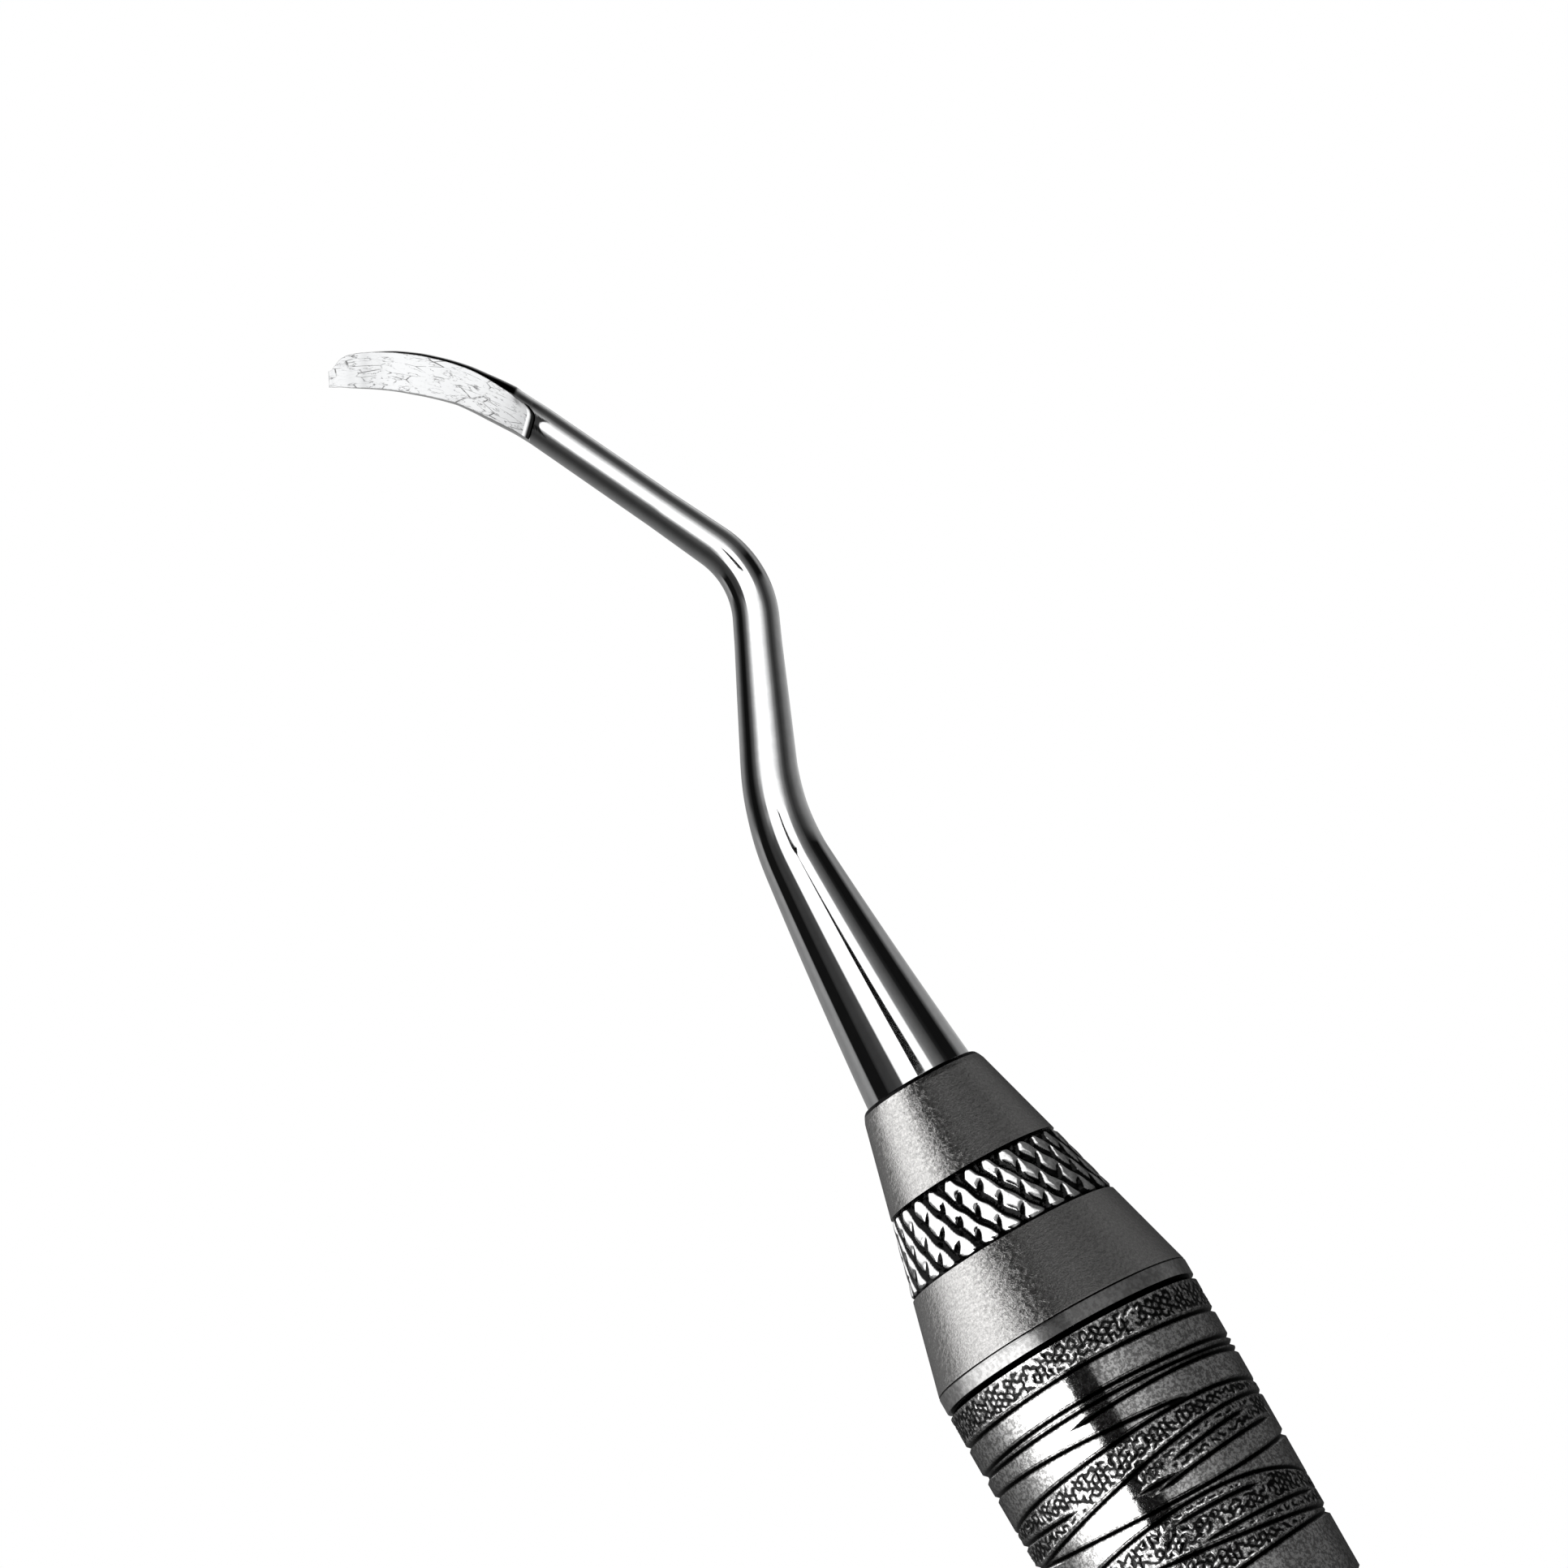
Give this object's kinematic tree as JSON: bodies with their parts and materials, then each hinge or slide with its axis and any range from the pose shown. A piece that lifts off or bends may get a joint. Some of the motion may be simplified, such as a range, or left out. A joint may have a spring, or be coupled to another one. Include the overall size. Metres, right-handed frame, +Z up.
{
  "type": "hand scaler",
  "caption": "Double-ended dental hand scaler: knurled tubular handle with a screwed-in cone, bent shank and ground sickle-like blade at each end.",
  "frame": {"origin": "on the surface that the instrument lies on, under the middle of the handle", "axes": "+X along the handle towards working end A, +Z up from the surface, +Y to the side that blade A's toe points to"},
  "size_m": [0.1764, 0.0106, 0.0095],
  "materials": {
    "handle_steel": "stainless steel, finely knurled fields between narrow polished bands and crossing V-grooves",
    "cone_steel": "stainless steel, even fine satin from bead blasting",
    "polished_steel": "stainless steel, polished",
    "blade_steel": "stainless steel, mirror-polished shank with a ground blade face",
    "seal_rubber": "black fluoroelastomer O-ring"
  },
  "bodies": {
    "handle": {"handle_tube": "handle_steel", "end_bush_a": "polished_steel", "end_bush_b": "polished_steel"},
    "seal_a": {"seal_ring_a": "seal_rubber"},
    "tip_a": {"nose_cone_a": "cone_steel", "knurl_ring_a": "polished_steel", "tang_pin_a": "polished_steel", "blade_and_shank_a": "blade_steel"},
    "seal_b": {"seal_ring_b": "seal_rubber"},
    "tip_b": {"nose_cone_b": "cone_steel", "knurl_ring_b": "polished_steel", "tang_pin_b": "polished_steel", "blade_and_shank_b": "blade_steel"}
  },
  "joints": [
    {"name": "tip_a_travel", "type": "slide", "parent": "handle", "child": "seal_a", "axis": [1, 0, 0], "range_m": [0, 0.0045]},
    {"name": "tip_a_unscrew", "type": "hinge", "parent": "seal_a", "child": "tip_a", "pos_m": [0.0475, 0, 0.00473], "axis": [1, 0, 0], "range_deg": [0, 1620]},
    {"name": "tip_b_travel", "type": "slide", "parent": "handle", "child": "seal_b", "axis": [-1, 0, 0], "range_m": [0, 0.0045]},
    {"name": "tip_b_unscrew", "type": "hinge", "parent": "seal_b", "child": "tip_b", "pos_m": [-0.0475, 0, 0.00473], "axis": [-1, 0, 0], "range_deg": [0, 1620]}
  ],
  "couplings": [
    {"joint": "tip_a_unscrew", "follows": "tip_a_travel", "rad_per_m": 6283.2},
    {"joint": "tip_b_unscrew", "follows": "tip_b_travel", "rad_per_m": 6283.2}
  ]
}
